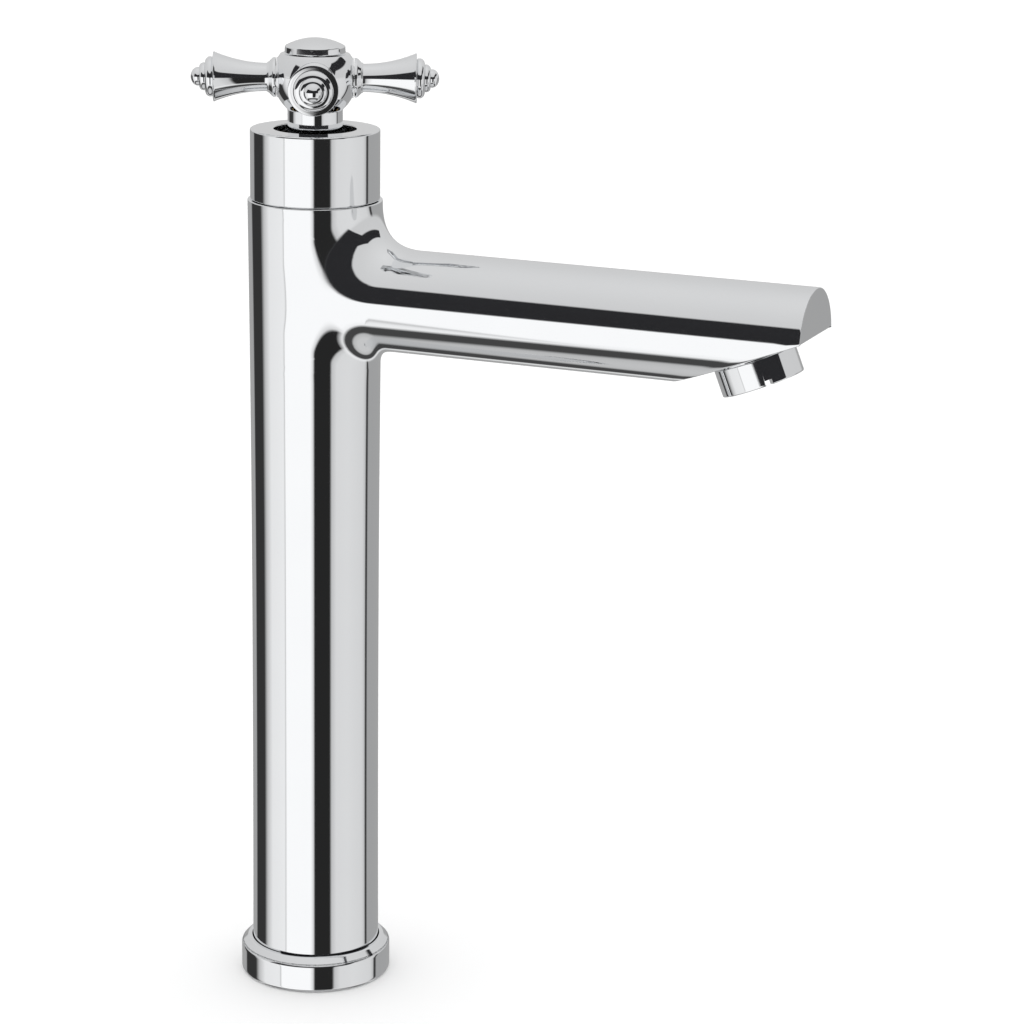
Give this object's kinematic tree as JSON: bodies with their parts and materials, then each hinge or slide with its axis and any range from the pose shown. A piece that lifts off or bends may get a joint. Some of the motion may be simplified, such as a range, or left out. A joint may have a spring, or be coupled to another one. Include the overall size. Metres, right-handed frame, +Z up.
{
  "type": "basin mixer faucet",
  "caption": "Tall single-handle basin mixer: slim round column, level round spout with a cut underside and aerator, cross handle on a tilting lever over a ceramic disc cartridge.",
  "frame": {"origin": "centre of the base on the deck plane", "axes": "+Z up along the column, -Y towards the spout's outlet (the user's side), +X to the user's right"},
  "size_m": [0.0772, 0.2174, 0.3336],
  "materials": {
    "chrome_plate": "polished chrome plating on brass",
    "plain_brass": "machined brass",
    "stainless_steel": "turned stainless steel",
    "black_rubber": "matt moulded rubber",
    "white_acetal": "moulded, semi matt",
    "grey_acetal": "moulded, semi matt",
    "disc_ceramic": "lapped ceramic"
  },
  "bodies": {
    "root": {"body": "chrome_plate", "base_ring": "chrome_plate", "base_gasket": "black_rubber", "base_plate": "plain_brass", "hot_supply_tube": "plain_brass", "cold_supply_tube": "plain_brass", "hot_tube_seal": "black_rubber", "cold_tube_seal": "black_rubber", "cap": "chrome_plate", "cap_oring": "black_rubber", "retaining_nut": "plain_brass", "cartridge_housing": "grey_acetal", "cartridge_base": "grey_acetal", "hot_port_seal": "black_rubber", "cold_port_seal": "black_rubber", "outlet_port_seal": "black_rubber", "fixed_disc": "disc_ceramic", "aerator_shell": "chrome_plate", "aerator_cage": "grey_acetal", "aerator_screen": "stainless_steel", "aerator_washer": "black_rubber"},
    "carriage": {"lever_carriage": "white_acetal", "lever_pin": "stainless_steel"},
    "disc": {"moving_disc": "disc_ceramic", "disc_carrier": "white_acetal"},
    "lever": {"lever_stem": "stainless_steel", "handle_hub": "chrome_plate", "handle_arm_front": "chrome_plate", "handle_arm_right": "chrome_plate", "handle_arm_back": "chrome_plate", "handle_arm_left": "chrome_plate", "index_button": "chrome_plate", "handle_screw": "stainless_steel"}
  },
  "joints": [
    {"name": "temperature_turn", "type": "hinge", "parent": "root", "child": "carriage", "pos_m": [0, 0, 0.2736], "axis": [0, 0, 1], "range_deg": [-75, 25]},
    {"name": "flow_tilt", "type": "hinge", "parent": "carriage", "child": "lever", "pos_m": [0, 0, 0.2902], "axis": [0.9063, 0.4226, 0], "range_deg": [0, 16]},
    {"name": "disc_slide", "type": "slide", "parent": "carriage", "child": "disc", "axis": [-0.4226, 0.9063, 0], "range_m": [0, 0.0053]}
  ],
  "couplings": [
    {"joint": "disc_slide", "follows": "flow_tilt", "m_per_rad": 0.018537}
  ]
}
